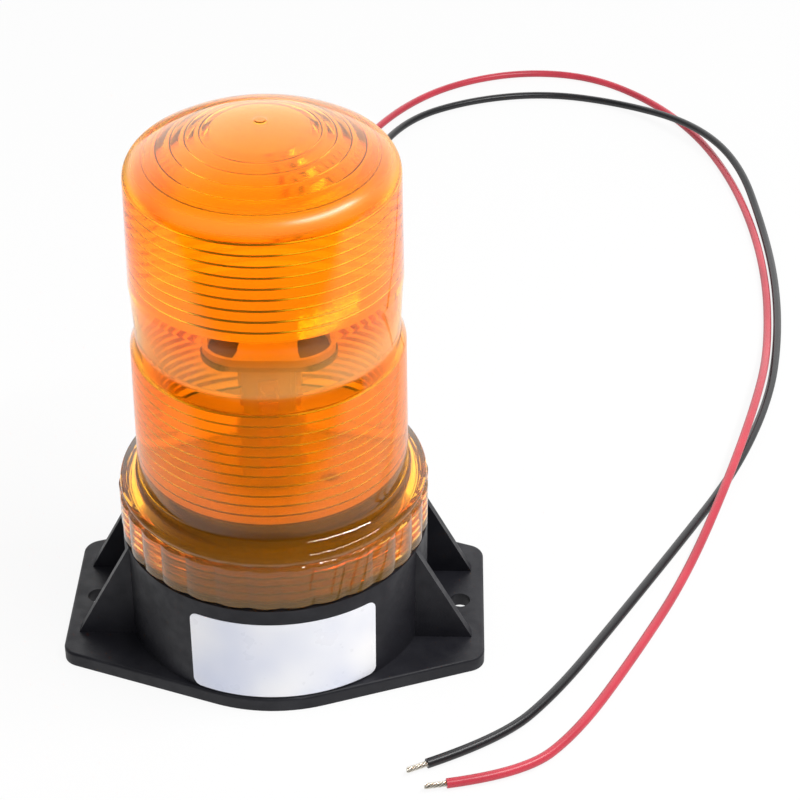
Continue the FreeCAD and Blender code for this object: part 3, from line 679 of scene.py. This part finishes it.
# How bright the backdrop is by how far a ray points along Y, for mirrored rays and for rays through the lens
MIRRORED_WALL = (0.1, 0.85, 0.12, 1.9)
THROUGH_WALL = (-0.35, 0.15, 0.85, 2.2)
# Strength of the backdrop as a light on the object
PLAIN_LIGHT = 0.65

# One long narrow softbox bent round the right side, as four strips in a row: centre, and roll in degrees
KEY_STRIPS = (
    ((264, -252, 661), -7.4),
    ((343, -169, 649), -9.8),
    ((399, -61, 631), -11.5),
    ((421, 59, 611), -12.2),
)
KEY_TARGET = (0, 0, 115)
KEY_SIZE = (120, 42)
KEY_POWER = 0.95


def ray_kinds(tree):
    """Outputs that tell the kinds of ray, and a number that is one for a mirrored ray alone."""
    rays = tree.nodes.new("ShaderNodeLightPath").outputs
    return rays, combine(tree, "SUBTRACT", rays["Is Glossy Ray"], rays["Is Transmission Ray"])


def make_stage():
    """White table with faint shadows, darker towards the room for what the lens mirrors and refracts."""
    reach, low = FLOOR_REACH, FLOOR_LOW
    mesh = bpy.data.meshes.new("floor")
    mesh.from_pydata([(-reach, -reach, low), (reach, -reach, low), (reach, reach, low), (-reach, reach, low)],
                     [], [(0, 1, 2, 3)])
    made = material("floor", FLOOR_WHITE, 0.7, Specular_IOR_Level=0.2)
    tree = made.node_tree
    place = coordinates(tree, "Object")
    rays, mirrored = ray_kinds(tree)

    behind = fade(tree, place["Y"], THROUGH_BEHIND)
    beside = fade(tree, place["X"], THROUGH_BESIDE)
    beyond = fade(tree, place["Y"], THROUGH_BEYOND)
    through = combine(tree, "MAXIMUM", combine(tree, "MAXIMUM", behind, beside), beyond)
    plain = choose(tree, rays["Is Transmission Ray"], 1.0, through)
    left = fade(tree, place["X"], MIRRORED_LEFT)
    in_gloss = combine(tree, "MULTIPLY", fade(tree, place["Y"], MIRRORED_FRONT), left)
    white = tree.nodes.new("ShaderNodeEmission")
    feed(tree, choose(tree, mirrored, plain, in_gloss), white.inputs["Strength"])

    seen = combine(tree, "MAXIMUM", rays["Is Camera Ray"], rays["Is Transmission Ray"])
    share = combine(tree, "MAXIMUM", combine(tree, "MULTIPLY", seen, FLOOR_SHARE), mirrored)
    mix = tree.nodes.new("ShaderNodeMixShader")
    tree.links.new(share, mix.inputs["Fac"])
    tree.links.new(tree.nodes["Principled BSDF"].outputs[0], mix.inputs[1])
    tree.links.new(white.outputs[0], mix.inputs[2])
    tree.links.new(mix.outputs[0], tree.nodes["Material Output"].inputs["Surface"])
    mesh.materials.append(made)
    floor = bpy.data.objects.new("floor", mesh)
    bpy.context.scene.collection.objects.link(floor)


def make_world():
    """White backdrop to the camera, plain light on the object, and a brighter back wall for the lens."""
    world = bpy.data.worlds.new("studio")
    world.use_nodes = True
    tree = world.node_tree
    background = tree.nodes["Background"]
    background.inputs["Color"].default_value = (1.0, 1.0, 1.0, 1.0)
    way = coordinates(tree, "Generated")
    rays, mirrored = ray_kinds(tree)
    plain = choose(tree, rays["Is Camera Ray"], PLAIN_LIGHT, 1.0)
    in_gloss = fade(tree, way["Y"], MIRRORED_WALL)
    through = fade(tree, way["Y"], THROUGH_WALL)
    strength = choose(tree, rays["Is Transmission Ray"], choose(tree, mirrored, plain, in_gloss), through)
    feed(tree, strength, background.inputs["Strength"])
    bpy.context.scene.world = world


def make_key_light():
    """The strips of the key light, each turned to the target and rolled into line with the next."""
    for place, roll in KEY_STRIPS:
        data = bpy.data.lights.new("key", "AREA")
        data.shape = "RECTANGLE"
        data.size, data.size_y = (value * MM for value in KEY_SIZE)
        data.energy = KEY_POWER
        lamp = bpy.data.objects.new("key", data)
        lamp.location = Vector(place) * MM
        lamp.rotation_mode = "QUATERNION"
        aim = (Vector(KEY_TARGET) - Vector(place)).to_track_quat("-Z", "Y")
        lamp.rotation_quaternion = aim @ Quaternion((0.0, 0.0, 1.0), math.radians(roll))
        bpy.context.scene.collection.objects.link(lamp)


# Making

make_camera()
finishes = {slot: plain_finish(slot) for slot in PLAIN_FINISHES}
finishes["black_plastic"] = black_plastic()
finishes["label"] = sticker()
finishes["dark_metal"] = spreader_finish()
amber_plastic = amber()

red_tip = make_tip("red_strands", RED_ROUTE, finishes["tinned_copper"])
black_tip = make_tip("black_strands", BLACK_ROUTE, finishes["tinned_copper"])
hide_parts("lead_red_tip")
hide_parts("lead_black_tip")
red_lead = make_lead("red_lead", RED_ROUTE, finishes["red_pvc"])
black_lead = make_lead("black_lead", BLACK_ROUTE, finishes["black_pvc"])
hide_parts("lead_red")
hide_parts("lead_black")

# The CAD model's own pieces get their finishes by slot; the lens and the leads are replaced.
for row in frame["record"]["subparts"]:
    carried = frame["nodes"][row["node"]]
    if row["material_slot"] in finishes and not carried.hide_render:
        carried.data.materials.clear()
        carried.data.materials.append(finishes[row["material_slot"]])

make_lens(amber_plastic)
neck_thread = make_thread("neck_thread", "base", finishes["black_plastic"], NECK_RADIUS - NECK_SUNK,
                          NECK_RADIUS + THREAD_DEPTH, NECK_THREAD, 0.0)
lens_thread = make_thread("lens_thread", "lens", amber_plastic, COLLAR_BORE + LENS_SUNK,
                          COLLAR_BORE - THREAD_DEPTH, LENS_THREAD, math.pi)

make_stage()
make_world()
make_key_light()
bpy.context.scene.view_settings.view_transform = "Standard"
